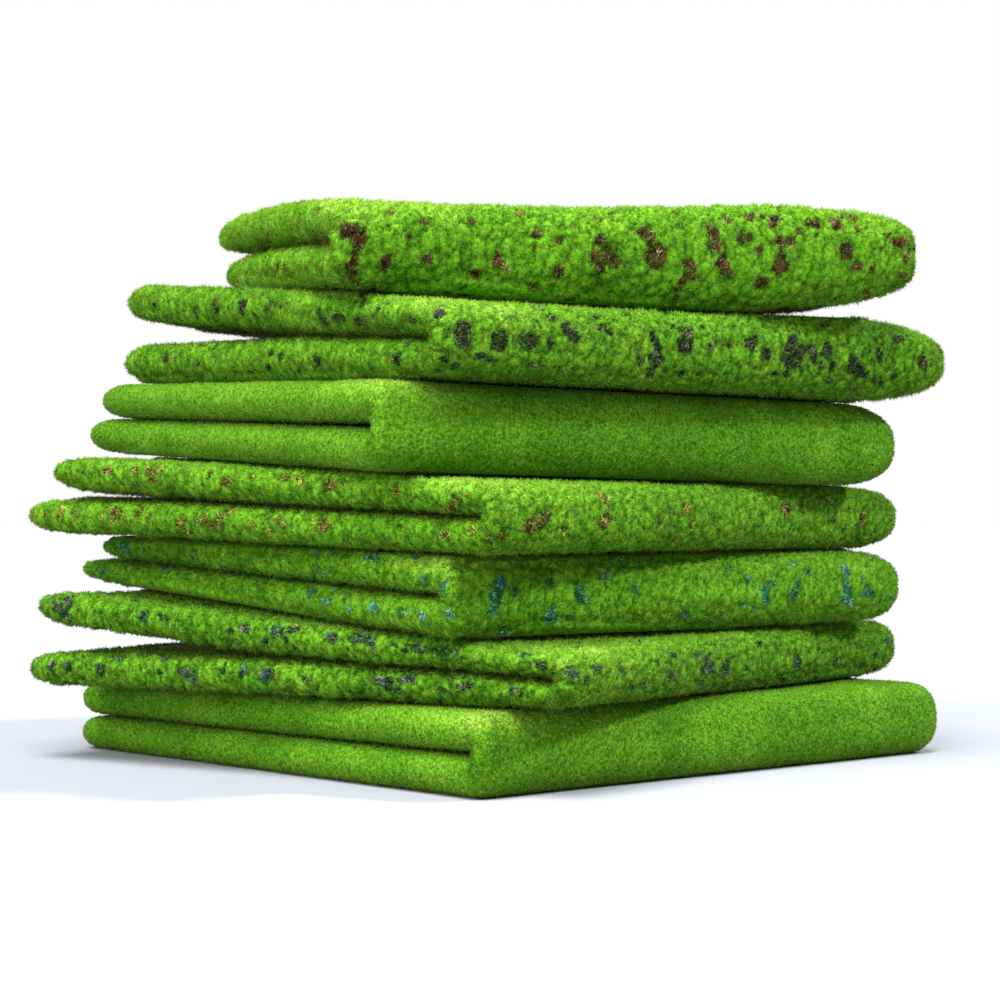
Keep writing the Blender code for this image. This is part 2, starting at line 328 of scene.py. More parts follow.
# Where a pixel of the photograph falls on a mat's sheet, with the metres that a pixel spans there. Of
# the outer moss that is open and faces the camera, it is the nearest part along the pixel's line
def sheetPlace(index, pixels):
    size = sheetSizes(mats[index])
    a, b = np.meshgrid(np.linspace(0, size["wide"], 300), np.linspace(0, size["long"], 300))
    a, b = a.ravel(), b.ravel()
    depth = fold["pile"] * mats[index]["fluff"]
    point, normal = outward(index, a, b, lambda a, b: np.full_like(a, depth), 0.002)[:2]
    camera = np.array([shift[0], shift[1] - photo["distance"], photo["height"]])
    toCamera = camera - point
    facing = (normal * toCamera).sum(-1) / np.linalg.norm(toCamera, axis=-1)
    shown = (facing > 0.05) & (openness(index, a, point) > 0.3)
    a, b, point = a[shown], b[shown], point[shown]
    away = np.abs(point[:, 1] - camera[1])
    perMetre = photo["pixels"] * photo["lens"] / photo["sensor"]
    across = photo["pixels"] / 2 + (point[:, 0] - camera[0]) / away * perMetre
    down = photo["pixels"] / 2 - (point[:, 2] - camera[2]) / away * perMetre
    places = []
    for x, y, half in pixels:
        off = np.hypot(across - x, down - y)
        near = np.flatnonzero(off < max(6.0, off.min() + 0.1))
        best = near[np.argmin(away[near] + 0.02 * off[near])]
        places.append((a[best], b[best], half * away[best] / perMetre))
    return np.array(places)


# How far places on a mat lie in a coloured patch, 0 to 1. On the moss that the photograph shows, the
# patches are where it shows them. Elsewhere they are cells of a pattern, some of them chosen, and
# small specks lie everywhere. The rims of all are ragged
def patchShare(index, a, b):
    mat = mats[index]
    look = looks[mat["slot"]]
    if look["share"] == 0:
        return np.zeros_like(a)
    seed = look["seed"]
    ragged = smoothNoise(a, b, 0.008, seed + 5) + 0.5 * smoothNoise(a, b, 0.0035, seed + 9)
    inside = np.zeros_like(a)
    for placeA, placeB, half in patchPlaces[index]:
        off = np.hypot(a - placeA, b - placeB) / (half * patchLook["spread"])
        inside = np.maximum(inside, 1 - smoothStep(0.45, 1.0, off + 1.1 * (ragged - 0.75)))
    near, _, number, _ = cellNoise(a, b, patchLook["cell"], seed + 4)
    hidden = 1 - smoothStep(-0.1, 0.1, shownFacing(index, a, b))
    cells = 1 - smoothStep(0.25, 0.55, near + 0.7 * (ragged - 0.75))
    cells = np.where(number < look["share"] * 2.2, cells, 0)
    near, _, number, _ = cellNoise(a, b, patchLook["speckCell"], seed + 14)
    specks = np.where(number < look["specks"], 1 - smoothStep(0.3, 0.6, near + 0.3 * (ragged - 0.75)), 0)
    return np.maximum(np.maximum(inside, cells * hidden), specks)


# How squarely a place faces the camera, by its direction round the folds alone
def shownFacing(index, a, b):
    depth = fold["pile"] * mats[index]["fluff"]
    return -outward(index, a, b, lambda a, b: np.full_like(a, depth), 0.003)[1][..., 1]


# How near a place on the outside of a mat's upper half is to the corner where both folds meet, 1 there
# and falling over the reach. The moss there gets a painted highlight: a paler, yellower tint and a lighter
# tone
paintedCornerSheen = dict(reach=0.075, tint=0.28, tone=0.04)


def paintedSheenNearCorner(index, a, b):
    size = sheetSizes(mats[index])
    toFirst = np.maximum(size["straight"] - a, 0) / paintedCornerSheen["reach"]
    toSecond = np.maximum(size["upper"] - b, 0) / paintedCornerSheen["reach"]
    roundFirst = 1 - smoothStep(0.25, 0.6, (a - size["straight"]) / size["firstArc"])
    roundSecond = 1 - smoothStep(0.15, 0.55, (b - size["upper"]) / size["secondArc"])
    return roundFirst * roundSecond * np.exp(-toFirst**2 - toSecond**2)


# Clumps at places on a mat. Each clump is a low dome, 1 on top and 0 in the cleft round it, with
# smaller domes on it. Also returns a random number of the clump
def clumps(index, a, b):
    mat = mats[index]
    look = looks[mat["slot"]]
    seed, clump = look["seed"], look["clump"]
    x, y = patternPlace(mat, a, b)
    wavy = x + 0.45 * clump * (smoothNoise(x, y, clump, seed + 1) - 0.5)
    wavyToo = y + 0.45 * clump * (smoothNoise(x, y, clump, seed + 2) - 0.5)
    first, second, chosen, _ = cellNoise(wavy, wavyToo, clump, seed)
    dome = np.sqrt(1 - np.clip(first / 0.9, 0, 1) ** 2) * smoothStep(-0.05, 0.40, second - first)
    small = cellNoise(wavy, wavyToo, clump * 0.42, seed + 3)[0]
    return 0.78 * dome + 0.22 * (1 - np.clip(small, 0, 1)), chosen


# The small tufts at places on a mat: the distance from the middle of the nearest, 0 to about 0.8, its
# random number, and the way from it to the place
def tufts(index, a, b):
    look = looks[mats[index]["slot"]]
    x, y = patternPlace(mats[index], a, b)
    away, _, number, way = cellNoise(x, y, look["tuft"], look["seed"] + 12)
    return away, number, way


# The height in metres of the pile's body above the bond. Where it is hidden it fills the envelope,
# and elsewhere it leaves room for the free fibres, for clefts between clumps and for thin patches
def bodyHeight(index, a, b, patch):
    mat = mats[index]
    look = looks[mat["slot"]]
    dome = clumps(index, a, b)[0]
    x, y = patternPlace(mat, a, b)
    near = cellNoise(x, y, 0.024, look["seed"] + 6)[0]
    swell = smoothNoise(a, b, 0.035, look["seed"] + 6) - 0.5
    full = fold["pile"] * mat["fluff"] - fold["bondGap"]
    height = full - 0.40 * look["fibre"] - look["relief"] * (1 - dome + patchLook["sunk"] * patch)
    height = height - look["lump"] * np.clip(near - 0.15, 0, 0.75) + 0.0012 * swell
    open_ = openness(index, a, placeOn(index, a, b, np.full_like(a, full)))
    return full + (np.minimum(height, full) - full) * open_


def unit(vectors):
    return vectors / np.maximum(np.linalg.norm(vectors, axis=-1, keepdims=True), 1e-12)


# Places of a surface over the sheet with its outward normals, from the slopes along a and b, and
# those two slopes. The outside is the side that a greater height lies on
def outward(index, a, b, heightAt, step=0.0004):
    size = sheetSizes(mats[index])
    here = placeOn(index, a, b, heightAt(a, b))
    stepA = np.where(a + step > size["wide"], -step, step)
    stepB = np.where(b + step > size["long"], -step, step)
    alongA = (placeOn(index, a + stepA, b, heightAt(a + stepA, b)) - here) * np.sign(stepA)[..., None]
    alongB = (placeOn(index, a, b + stepB, heightAt(a, b + stepB)) - here) * np.sign(stepB)[..., None]
    normal = np.cross(alongA, alongB)
    higher = placeOn(index, a, b, heightAt(a, b) + step) - here
    facing = np.sign((normal * higher).sum(-1, keepdims=True))
    return here, unit(normal) * np.where(facing == 0, 1, facing), unit(alongA), unit(alongB)


# How far inside a folded mat's plan outline a place is, negative outside it
def inset(mat, x, y):
    u, v = toMat(mat, x, y)
    return np.minimum(np.minimum(u, mat["side"] - u), np.minimum(v, mat["side"] - v))


# How open to view a place on a mat's moss is, from 0 to 1. Between two mats, or between a mat's own
# two halves, what lies further in than a small reach is hidden, and the reach grows with the gap
view = dict(reach=0.012, perGap=2.5, fade=0.012)


def openness(index, a, point):
    mat = mats[index]
    size = sheetSizes(mat)
    x, y, z = point[..., 0] - shift[0], point[..., 1] - shift[1], point[..., 2]
    own = inset(mat, x, y)
    inner = a > size["straight"] + size["firstArc"] / 2
    low, high = matLimits(index, x, y)
    middle = (low + high) / 2
    faceUp = z > middle
    if index + 1 < len(mats):
        deepUp, gapUp = inset(mats[index + 1], x, y), 2 * (high - z)
    else:
        deepUp, gapUp = np.full(x.shape, -1.0), np.zeros(x.shape)
    deepDown = inset(mats[index - 1], x, y) if index > 0 else own
    gapDown = 2 * (z - low) if index > 0 else np.zeros(x.shape)
    u, v = toMat(mat, x, y)
    deepOwn = np.minimum(np.minimum(u, mat["side"] - u), mat["side"] - v)
    gapOwn = 2 * np.abs(z - middle)
    deep = np.where(inner, deepOwn, np.where(faceUp, deepUp, deepDown))
    gap = np.where(inner, gapOwn, np.where(faceUp, gapUp, gapDown))
    reach = view["reach"] + view["perGap"] * np.clip(gap, 0, 0.03)
    return np.clip((reach + view["fade"] - deep) / view["fade"], 0, 1)


# spread is the size of a patch beside its half width in the photograph, cell and speckCell the
# spacing of the patterned patches, sunk how much lower the moss stands in a patch, as a share of the
# relief, and mixed the share of coloured tufts in the middle of one
patchLook = dict(spread=1.2, cell=0.021, speckCell=0.008, sunk=0.45, mixed=0.66)
patchPlaces = {
    index: sheetPlace(index, patches[mat["name"]])
    for index, mat in enumerate(mats) if mat["name"] in patches
}
print("patches placed:", sum(len(places) for places in patchPlaces.values()))


# A mesh object with its place in its mesh. Points that no face uses are left out
def makeMesh(name, points, faces, material):
    used = np.unique(np.concatenate([np.asarray(face).ravel() for face in faces]))
    newNumber = np.full(len(points), -1)
    newNumber[used] = np.arange(len(used))
    lists = []
    for face in faces:
        lists += newNumber[face].tolist() if face.ndim == 2 else [newNumber[face].tolist()]
    mesh = bpy.data.meshes.new(name)
    mesh.from_pydata(points[used].tolist(), [], lists, shade_flat=False)
    mesh.materials.append(material)
    obj = bpy.data.objects.new(name, mesh)
    bpy.context.scene.collection.objects.link(obj)
    return obj, used


# A mesh of loose triangles from arrays, shaded by a normal for each point, so that thin fibres take
# the light of the surface that they make up together
def makeTriangles(name, points, triangles, normals, material):
    mesh = bpy.data.meshes.new(name)
    mesh.vertices.add(len(points))
    mesh.vertices.foreach_set("co", points.astype(np.float32).ravel())
    mesh.loops.add(triangles.size)
    mesh.loops.foreach_set("vertex_index", triangles.astype(np.int32).ravel())
    mesh.polygons.add(len(triangles))
    mesh.polygons.foreach_set("loop_start", np.arange(0, triangles.size, 3, dtype=np.int32))
    mesh.update(calc_edges=True)
    mesh.shade_smooth()
    mesh.normals_split_custom_set_from_vertices(normals.tolist())
    mesh.materials.append(material)
    obj = bpy.data.objects.new(name, mesh)
    bpy.context.scene.collection.objects.link(obj)
    return obj


# A UV map with one pair of values for each point
def pointMap(obj, name, across, up):
    layer = obj.data.uv_layers.new(name=name)
    corners = np.empty(len(obj.data.loops), dtype=np.int32)
    obj.data.loops.foreach_get("vertex_index", corners)
    layer.data.foreach_set("uv", np.stack([across[corners], up[corners]], -1).astype(np.float32).ravel())


# The sheet laid flat as a UV map: its outside in one half and its inside in the other. The rim, which
# is the last faces, keeps to the outside's half, so that it covers nothing
def sheetMap(obj, used, far, across, up, rimCorners):
    corners = np.empty(len(obj.data.loops), dtype=np.int32)
    obj.data.loops.foreach_get("vertex_index", corners)
    inside = used[corners] >= far
    inside[len(corners) - rimCorners:] = False
    place = used[corners] % far
    values = np.stack([across.ravel()[place] * 0.49 + 0.5 * inside, up.ravel()[place]], -1)
    obj.data.uv_layers.new(name="OFBake").data.foreach_set("uv", values.astype(np.float32).ravel())


# Turns all faces over where a closed mesh's volume comes out negative
def faceOut(obj):
    mesh = obj.data
    mesh.calc_loop_triangles()
    corners = np.empty(len(mesh.loop_triangles) * 3, dtype=np.int32)
    mesh.loop_triangles.foreach_get("vertices", corners)
    points = np.empty(len(mesh.vertices) * 3)
    mesh.vertices.foreach_get("co", points)
    p, q, r = points.reshape(-1, 3)[corners.reshape(-1, 3)].transpose(1, 0, 2)
    if (np.cross(p, q) * r).sum() < 0:
        mesh.flip_normals()


# Line places across a sheet, straight, round the fold and straight again, with the number of steps
# in the two straights, each a multiple of the block
def lineStops(straight, arc, straightToo, step, arcSteps, block):
    first = max(round(straight / step / block), 1) * block
    last = max(round(straightToo / step / block), 1) * block
    stops = np.concatenate([
        np.linspace(0, straight, first + 1)[:-1],
        straight + np.linspace(0, arc, arcSteps + 1)[:-1],
        straight + arc + np.linspace(0, straightToo, last + 1),
    ])
    return stops, first, last


def steppedCorners(number):
    return np.stack([number[:-1, :-1], number[1:, :-1], number[1:, 1:], number[:-1, 1:]], -1)


# How a mat's pile is gridded: its lines round each fold, and the lines that make a block
pileGrid = dict(firstFold=16, secondFold=32, block=8)


# The body of a mat's pile: a closed solid from the cloth up to where its fibres stand free. Where it
# can be seen its outside is a fine grid. Elsewhere each block of the grid is one face, which keeps
# the points that it shares with a fine block, so the solid stays closed
def makePile(index, lattice, material):
    mat = mats[index]
    look, size, block = looks[mat["slot"]], sheetSizes(mat), pileGrid["block"]
    aStops, aFirst, aLast = lineStops(
        size["straight"], size["firstArc"], size["straight"], look["grid"], pileGrid["firstFold"], block)
    bStops, bFirst, bLast = lineStops(
        size["upper"], size["secondArc"], size["lower"], look["grid"], pileGrid["secondFold"], block)
    a, b = np.meshgrid(aStops, bStops, indexing="ij")
    dome, chosen = clumps(index, a, b)
    patch = readLattice(index, lattice, a, b)[..., 1]
    outer = placeOn(index, a, b, bodyHeight(index, a, b, patch))
    inner = placeOn(index, a, b, np.zeros_like(a))
    seen = openness(index, a, outer) > 0

    rows, columns = a.shape
    far = rows * columns
    number = np.arange(far).reshape(rows, columns)
    fine = np.zeros(((rows - 1) // block, (columns - 1) // block), dtype=bool)
    for i in range(block + 1):
        for j in range(block + 1):
            fine |= seen[i::block, j::block][:fine.shape[0], :fine.shape[1]]
    fine[0, :] = fine[-1, :] = fine[:, 0] = fine[:, -1] = True
    faces = [steppedCorners(number)[np.repeat(np.repeat(fine, block, 0), block, 1)]]
    for i, j in np.argwhere(~fine):
        top, left = i * block, j * block
        low, right = top + block, left + block
        sides = [
            (number[top:low, left], fine[i, j - 1]),
            (number[low, left:right], fine[i + 1, j]),
            (number[low:top:-1, right], fine[i, j + 1]),
            (number[top, right:left:-1], fine[i - 1, j]),
        ]
        faces.append(np.concatenate([side if beside else side[:1] for side, beside in sides]))

    keepRows = np.r_[0:aFirst:block, aFirst:rows - 1 - aLast, rows - 1 - aLast:rows:block]
    keepColumns = np.r_[0:bFirst:block, bFirst:columns - 1 - bLast, columns - 1 - bLast:columns:block]
    under = steppedCorners(number[np.ix_(keepRows, keepColumns)] + far)
    faces.append(under.reshape(-1, 4)[:, ::-1])
    rimStart = len(faces)
    rims = [
        (keepRows, number[:, 0], False), (keepRows, number[:, -1], True),
        (keepColumns, number[0, :], True), (keepColumns, number[-1, :], False),
    ]
    for keep, line, turned in rims:
        for start, end in zip(keep[:-1], keep[1:]):
            face = np.concatenate([line[start:end + 1][::-1], [line[start] + far, line[end] + far]])
            faces.append(face[::-1] if turned else face)
    points = np.concatenate([outer.reshape(-1, 3), inner.reshape(-1, 3)])
    rimCorners = sum(len(face) for face in faces[rimStart:])
    obj, used = makeMesh(f"{mat['name']}_pile", points, faces, material)
    faceOut(obj)
    drift = smoothNoise(a, b, 0.03, look["seed"] + 8)
    sheenAtCorner = paintedSheenNearCorner(index, a, b)
    # Painted highlight: the tint grows paler and yellower near the corner where both folds meet
    tint = 0.35 + 0.10 * chosen + 0.30 * drift + paintedCornerSheen["tint"] * sheenAtCorner
    tint = tint * (1 - smoothStep(0.25, 0.6, patch))
    # Painted shade: the body is darker than the blades' tips and darker still in the clefts between clumps;
    # bright lifts it as painted light, and the near corner gets a painted highlight
    paintedShading = 0.66 if look["relief"] < 0.001 else 0.42 + 0.30 * dome
    paintedShading = paintedShading + look["bright"] + paintedCornerSheen["tone"] * sheenAtCorner
    sheetMap(obj, used, far, a / size["wide"], b / size["long"], rimCorners)
    pointMap(obj, "tone", np.tile(tint.ravel(), 2)[used], np.tile(paintedShading.ravel(), 2)[used])
    return obj


# The cloth under the pile: the same folded sheet, from the slit to the bond, as a closed thin solid
clothGrid = dict(step=0.004, firstFold=24, secondFold=32, block=8)


def makeCloth(index, material):
    mat = mats[index]
    size = sheetSizes(mat)
    block = clothGrid["block"]
    aStops, aFirst, aLast = lineStops(
        size["straight"], size["firstArc"], size["straight"],
        clothGrid["step"], clothGrid["firstFold"], block)
    bStops, bFirst, bLast = lineStops(
        size["upper"], size["secondArc"], size["lower"], clothGrid["step"], clothGrid["secondFold"], block)
    aEnd, bEnd = len(aStops) - 1 - aLast, len(bStops) - 1 - bLast
    aStops = aStops[np.r_[0:aFirst:block, aFirst:aEnd, aEnd:len(aStops):block]]
    bStops = bStops[np.r_[0:bFirst:block, bFirst:bEnd, bEnd:len(bStops):block]]
    a, b = np.meshgrid(aStops, bStops, indexing="ij")
    outer = foldPoint(index, a, b, np.full_like(a, fold["backing"])) + shift
    inner = foldPoint(index, a, b, np.zeros_like(a)) + shift
    rows, columns = a.shape
    far = rows * columns
    number = np.arange(far).reshape(rows, columns)
    rim = np.concatenate([number[:, 0], number[-1, 1:], number[-2::-1, -1], number[0, -2:0:-1]])
    following = np.roll(rim, -1)
    faces = [
        steppedCorners(number).reshape(-1, 4),
        steppedCorners(number).reshape(-1, 4)[:, ::-1] + far,
        np.stack([following, rim, rim + far, following + far], -1),
    ]
    points = np.concatenate([outer.reshape(-1, 3), inner.reshape(-1, 3)])
    obj, used = makeMesh(f"{mat['name']}_cloth", points, faces, material)
    faceOut(obj)
    sheetMap(obj, used, far, a / size["wide"], b / size["long"], faces[-1].size)

    middle = (outer + inner) / 2
    acrossLength = np.linalg.norm(np.diff(middle, axis=0), axis=-1).sum(0).mean()
    alongLength = np.linalg.norm(np.diff(middle, axis=1), axis=-1).sum(1).mean()
    return obj, (float(acrossLength), float(alongLength))


# Values that are slow to work out, on a fine lattice over a mat's sheet: how open to view each place
# is, how far it lies in a coloured patch and how squarely it faces the camera
def makeLattice(index, step=0.0016):
    size = sheetSizes(mats[index])
    a, b = np.meshgrid(
        np.linspace(0, size["wide"], round(size["wide"] / step)),
        np.linspace(0, size["long"], round(size["long"] / step)), indexing="ij")
    mid = np.full_like(a, fold["pile"] * mats[index]["fluff"] * 0.8)
    shown = openness(index, a, placeOn(index, a, b, mid))
    return np.stack([shown, patchShare(index, a, b), shownFacing(index, a, b)], -1)


# The lattice's values at places between its points, blended along both directions
def readLattice(index, lattice, a, b):
    size = sheetSizes(mats[index])
    rows, columns = lattice.shape[:2]
    i, j = a / size["wide"] * (rows - 1), b / size["long"] * (columns - 1)
    row, column = np.minimum(i.astype(int), rows - 2), np.minimum(j.astype(int), columns - 2)
    down, over = (i - row)[..., None], (j - column)[..., None]
    low = lattice[row, column] * (1 - over) + lattice[row, column + 1] * over
    high = lattice[row + 1, column] * (1 - over) + lattice[row + 1, column + 1] * over
    return low * (1 - down) + high * down


# Random places on a mat's sheet, at most count of them, more of them in the middle of a tuft, where
# the moss is open to view and on the side that the photograph shows. A tuft is coloured where its
# random number is under the patch's share, and green elsewhere
def bladePlaces(index, lattice, count, tries, random, coloured):
    size = sheetSizes(mats[index])
    a = random.random(tries) * size["wide"]
    b = random.random(tries) * size["long"]
    shown, patch, facing = np.moveaxis(readLattice(index, lattice, a, b), -1, 0)
    keep = (random.random(tries) < shown) & ((patch > 0.01) | (not coloured))
    a, b, patch, facing = a[keep], b[keep], patch[keep], facing[keep]
    away, number, _ = tufts(index, a, b)
    keep = (number < patch * patchLook["mixed"]) == coloured
    front = bladeShape["behind"] + (1 - bladeShape["behind"]) * smoothStep(-0.2, 0.4, facing)
    weight = keep * front * np.clip(1.25 - 1.6 * away, 0.08, 1)
    share = min(count / weight.sum(), 1)
    kept = random.random(len(a)) < weight * share
    print(f"  {mats[index]['name']}: {kept.sum()} blades of {tries} places, share {share:.2f}")
    return a[kept], b[kept], patch[kept]


# The free fibres are narrow triangles that stand in tufts: nearly upright in the middle of a tuft and
# leaning outwards at its rim, on the clumps' own slope. Each has its foot in the body of the pile.
# greenCount and colouredCount are blades a mat, topExtra how many more the top mat has, and behind
# how dense they are on the sides that the photograph doesn't show
bladeShape = dict(width=0.00088, greenCount=104000, topExtra=1.5, colouredCount=39000,
                  greenTries=1500000, colouredTries=3000000, behind=0.62,
                  stray=0.35, wobble=11, sink=0.22, floorClear=0.0003)


# The tone of a blade from 0 to 1 at its foot and its tip, mostly painted shade that darkens the foot deep in
# the pile: the rise on top of a clump and the fall at the rim of a tuft, which paint shade into the clefts
# and pits, the random part, and what is added to a coloured one
bladeShadeAndTone = dict(foot=0.38, footRise=0.22, tip=0.64, tipRise=0.26, rim=0.05, vary=0.07, coloured=0.06)


def makeBlades(index, lattice, name, coloured, material):
    mat = mats[index]
    look = looks[mat["slot"]]
    random = np.random.default_rng(look["seed"] * 100 + index + 50 * coloured)
    count = bladeShape["colouredCount"] if coloured else bladeShape["greenCount"]
    tries = bladeShape["colouredTries"] if coloured else bladeShape["greenTries"]
    if index == len(mats) - 1 and not coloured:
        count = int(count * bladeShape["topExtra"])
    a, b, patch = bladePlaces(index, lattice, count, tries, random, coloured)
    foot, normal, alongA, alongB = outward(index, a, b, lambda a, b: bodyHeight(index, a, b, patch))
    level = fold["pile"] * mat["fluff"] * 0.8
    smooth = outward(index, a, b, lambda a, b: np.full_like(a, level), 0.002)[1]
    stand = unit(0.75 * normal + 0.25 * smooth)
    away, number, off = tufts(index, a, b)
    off = off / np.maximum(away, 0.05)[:, None]
    lean = off[:, :1] * alongA + off[:, 1:] * alongB + bladeShape["stray"] * random.normal(size=stand.shape)
    lean = unit(lean - stand * (lean * stand).sum(-1, keepdims=True))
    tilt = look["tilt"][0] + (look["tilt"][1] - look["tilt"][0]) * np.clip(away / 0.6, 0, 1)
    tilt = np.radians(tilt + bladeShape["wobble"] * random.normal(size=len(a)))[:, None]
    way = stand * np.cos(tilt) + lean * np.sin(tilt)
    side = unit(np.cross(way, stand + 0.6 * random.normal(size=stand.shape)))
    length = look["fibre"] * (0.65 + 0.7 * random.random(len(a)))[:, None]
    half = bladeShape["width"] * (0.6 + 0.6 * random.random(len(a)))[:, None] / 2
    root = foot - way * length * bladeShape["sink"]
    points = np.stack([root - side * half, root + side * half, foot + way * length], 1)
    points[..., 2] = np.maximum(points[..., 2], bladeShape["floorClear"])
    normals = np.repeat(unit(0.65 * stand + 0.45 * way)[:, None], 3, 1).reshape(-1, 3)
    obj = makeTriangles(name, points.reshape(-1, 3), np.arange(len(a) * 3).reshape(-1, 3), normals, material)

    dome, chosen = clumps(index, a, b)
    own, rim, sheenAtCorner = random.random(len(a)), np.clip(away / 0.7, 0, 1), paintedSheenNearCorner(index, a, b)
    if coloured:
        tint = np.where(own < 0.5, (number * 37.7) % 1, random.random(len(a)))
    else:
        drift = smoothNoise(a, b, 0.03, look["seed"] + 8)
        # Painted highlight: the tint grows paler and yellower near the corner where both folds meet
        tint = np.clip(0.22 + 0.10 * chosen + 0.30 * drift + 0.22 * own + paintedCornerSheen["tint"] * sheenAtCorner, 0, 1)
    # Painted shade: darker at the foot than the tip, darker in the clefts between clumps and at the rim of a
    # tuft; bright lifts it all as painted light, and the near corner gets a painted highlight
    raised = 0.85 if look["relief"] < 0.001 else dome
    both = look["bright"] + bladeShadeAndTone["coloured"] * coloured + paintedCornerSheen["tone"] * sheenAtCorner
    both = both - bladeShadeAndTone["rim"] * rim + bladeShadeAndTone["vary"] * random.random(len(a))
    low = np.clip(bladeShadeAndTone["foot"] + bladeShadeAndTone["footRise"] * raised + both, 0, 1)
    high = np.clip(bladeShadeAndTone["tip"] + bladeShadeAndTone["tipRise"] * raised + both, 0, 1)
    pointMap(obj, "OFBake", np.repeat(tint, 3), np.stack([low, low, high], 1).ravel())
    return obj


def linearColour(code):
    values = [int(code[place:place + 2], 16) / 255 for place in (1, 3, 5)]
    return [v / 12.92 if v <= 0.04045 else ((v + 0.055) / 1.055) ** 2.4 for v in values] + [1.0]


# Adds a node, sets its properties, and links or sets its inputs
def addNode(tree, kind, inputs=(), **settings):
    node = tree.nodes.new(kind)
    for name, value in settings.items():
        setattr(node, name, value)
    for socket, value in dict(inputs).items():
        if isinstance(value, bpy.types.NodeSocket):
            tree.links.new(value, node.inputs[socket])
        else:
            node.inputs[socket].default_value = value
    return node


def fillRamp(node, stops, interpolation="LINEAR"):
    ramp = node.color_ramp
    ramp.interpolation = interpolation
    while len(ramp.elements) < len(stops):
        ramp.elements.new(0.5)
    for element, (place, code) in zip(ramp.elements, stops):
        element.position = place
        element.color = linearColour(code)


def newMaterial(name):
    material = bpy.data.materials.new(name)
    material.use_nodes = True
    tree = material.node_tree
    tree.nodes.clear()
    return material, tree


# Curled polyethylene fibre. It is matt and as thin as film, so it glows as brightly from behind as
# from the front, and light that grazes it gives a pale sheen. The palette map gives a fibre's own
# tint across and its painted shade from foot to tip upwards
def fibreMaterial(name, tints, paintedShadeRamp, constant=False):
    material, tree = newMaterial(name)
    place = addNode(tree, "ShaderNodeUVMap", uv_map="OFBake")
    parts = addNode(tree, "ShaderNodeSeparateXYZ", {"Vector": place.outputs["UV"]})
    tint = addNode(tree, "ShaderNodeValToRGB", {"Fac": parts.outputs["X"]})
    fillRamp(tint, tints, "CONSTANT" if constant else "LINEAR")
    paintedShading = addNode(tree, "ShaderNodeValToRGB", {"Fac": parts.outputs["Y"]})
    fillRamp(paintedShading, paintedShadeRamp)
    colour = addNode(tree, "ShaderNodeMix", data_type="RGBA", blend_type="MULTIPLY")
    colour.inputs["Factor"].default_value = 1.0
    tree.links.new(tint.outputs["Color"], colour.inputs["A"])
    tree.links.new(paintedShading.outputs["Color"], colour.inputs["B"])
    mixed = colour.outputs["Result"]
    surface = addNode(tree, "ShaderNodeBsdfPrincipled", {
        "Base Color": mixed, "Roughness": 0.7, "IOR": 1.5, "Specular IOR Level": 0.2,
        "Sheen Weight": 0.16, "Sheen Roughness": 0.35, "Sheen Tint": linearColour("#dcec70")})
    behind = addNode(tree, "ShaderNodeBsdfTranslucent", {"Color": mixed})
    both = addNode(tree, "ShaderNodeMixShader", {
        0: 0.5, 1: surface.outputs["BSDF"], 2: behind.outputs["BSDF"]})
    addNode(tree, "ShaderNodeOutputMaterial", {"Surface": both.outputs["Shader"]})
    return material


# The same fibre where it stands too densely to be seen singly. Cells as wide as a tuft break up its
# tone and its surface, with painted shade that darkens the pits between them
def bodyMaterial(name, tints, paintedShadeRamp, tuft):
    material, tree = newMaterial(name)
    tone = addNode(tree, "ShaderNodeUVMap", uv_map="tone")
    parts = addNode(tree, "ShaderNodeSeparateXYZ", {"Vector": tone.outputs["UV"]})
    place = addNode(tree, "ShaderNodeTexCoord")
    cells = addNode(tree, "ShaderNodeTexVoronoi", {
        "Vector": place.outputs["Object"], "Scale": 1 / tuft, "Detail": 1.0, "Roughness": 0.6})
    rise = addNode(tree, "ShaderNodeMath", {0: 0.5, 1: cells.outputs["Distance"]}, operation="SUBTRACT")
    # Painted shade: the tone falls towards the pits between the cells
    paintedPitShade = addNode(tree, "ShaderNodeMath", {
        0: rise.outputs["Value"], 1: 0.38, 2: parts.outputs["Y"]}, operation="MULTIPLY_ADD")
    tint = addNode(tree, "ShaderNodeValToRGB", {"Fac": parts.outputs["X"]})
    fillRamp(tint, tints)
    paintedShading = addNode(tree, "ShaderNodeValToRGB", {"Fac": paintedPitShade.outputs["Value"]})
    fillRamp(paintedShading, paintedShadeRamp)
    colour = addNode(tree, "ShaderNodeMix", data_type="RGBA", blend_type="MULTIPLY")
    colour.inputs["Factor"].default_value = 1.0
    tree.links.new(tint.outputs["Color"], colour.inputs["A"])
    tree.links.new(paintedShading.outputs["Color"], colour.inputs["B"])
    bump = addNode(tree, "ShaderNodeBump", {
        "Height": rise.outputs["Value"], "Strength": 0.6, "Distance": 0.0009})
    surface = addNode(tree, "ShaderNodeBsdfPrincipled", {
        "Base Color": colour.outputs["Result"], "Roughness": 0.9, "IOR": 1.5, "Specular IOR Level": 0.1,
        "Sheen Weight": 0.1, "Sheen Roughness": 0.35, "Sheen Tint": linearColour("#dcec70"),
        "Normal": bump.outputs["Normal"],
    })
    addNode(tree, "ShaderNodeOutputMaterial", {"Surface": surface.outputs["BSDF"]})
    return material


